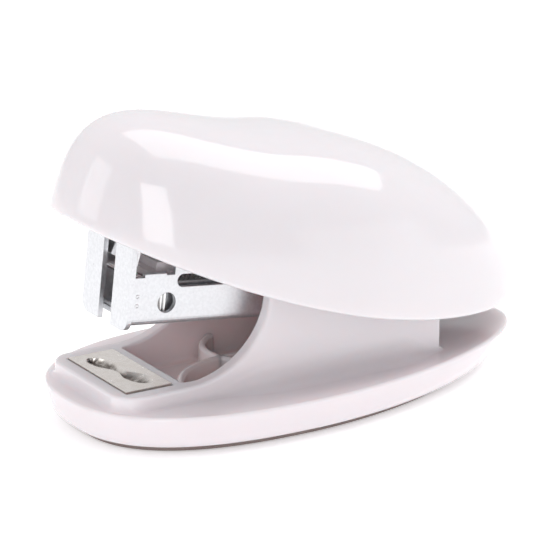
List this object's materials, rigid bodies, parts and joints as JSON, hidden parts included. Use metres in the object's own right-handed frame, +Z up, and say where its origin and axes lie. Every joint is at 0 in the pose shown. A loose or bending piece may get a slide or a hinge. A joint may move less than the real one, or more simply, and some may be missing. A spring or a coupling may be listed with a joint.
{
  "type": "mini stapler",
  "caption": "Small domed desk stapler with a white plastic top shell and base, a sprung steel magazine, driver blade and anvil plate.",
  "frame": {"origin": "middle of the stapler's bounding box at the height of the surface it stands on", "axes": "+Z up, -Y towards the jaw at the front, +Y towards the tail, X across the stapler along the hinge pin"},
  "size_m": [0.035, 0.0648, 0.039],
  "materials": {
    "shell_plastic": "gloss",
    "base_plastic": "gloss",
    "inner_plastic": "satin",
    "pad": "matte",
    "sheet_steel": "satin zinc plate",
    "anvil_nickel": "nickel plate",
    "pin_steel": "bright",
    "spring_steel": "bright",
    "staple_wire": "bright"
  },
  "bodies": {
    "base": {"base": "base_plastic", "base_pad": "pad", "anvil_plate": "anvil_nickel", "hinge_pin": "pin_steel", "pin_retainers": "spring_steel", "lift_spring": "spring_steel", "lift_spring_rivet": "pin_steel"},
    "magazine": {"magazine_channel": "sheet_steel", "staple_rail": "sheet_steel", "rail_rivets": "pin_steel", "staple_strip": "staple_wire", "spring_rod": "pin_steel", "rear_bracket": "sheet_steel", "spring_seat": "sheet_steel", "pusher_spring": "spring_steel", "cover_spring": "spring_steel"},
    "pusher": {"pusher": "inner_plastic"},
    "cover": {"cover_lever": "sheet_steel", "driver_blade": "pin_steel", "driver_holder": "inner_plastic", "lever_rivets": "pin_steel", "top_shell": "shell_plastic", "shell_screws": "pin_steel"}
  },
  "joints": [
    {"name": "magazine_hinge", "type": "hinge", "parent": "base", "child": "magazine", "pos_m": [0, 0.01, 0.0145], "axis": [1, 0, 0], "range_deg": [0, 10], "stiffness_Nm_per_rad": 0.1, "springref_deg": -20.05, "deforming": ["lift_spring"]},
    {"name": "cover_hinge", "type": "hinge", "parent": "magazine", "child": "cover", "pos_m": [0, 0.01, 0.0145], "axis": [1, 0, 0], "range_deg": [0, 10.5], "stiffness_Nm_per_rad": 0.25, "springref_deg": -20.05, "deforming": ["cover_spring"]},
    {"name": "pusher_slide", "type": "slide", "parent": "magazine", "child": "pusher", "axis": [0, 0.9936, -0.1132], "range_m": [0, 0.013], "stiffness_N_per_m": 50, "springref_m": -0.012, "deforming": ["pusher_spring"]}
  ]
}
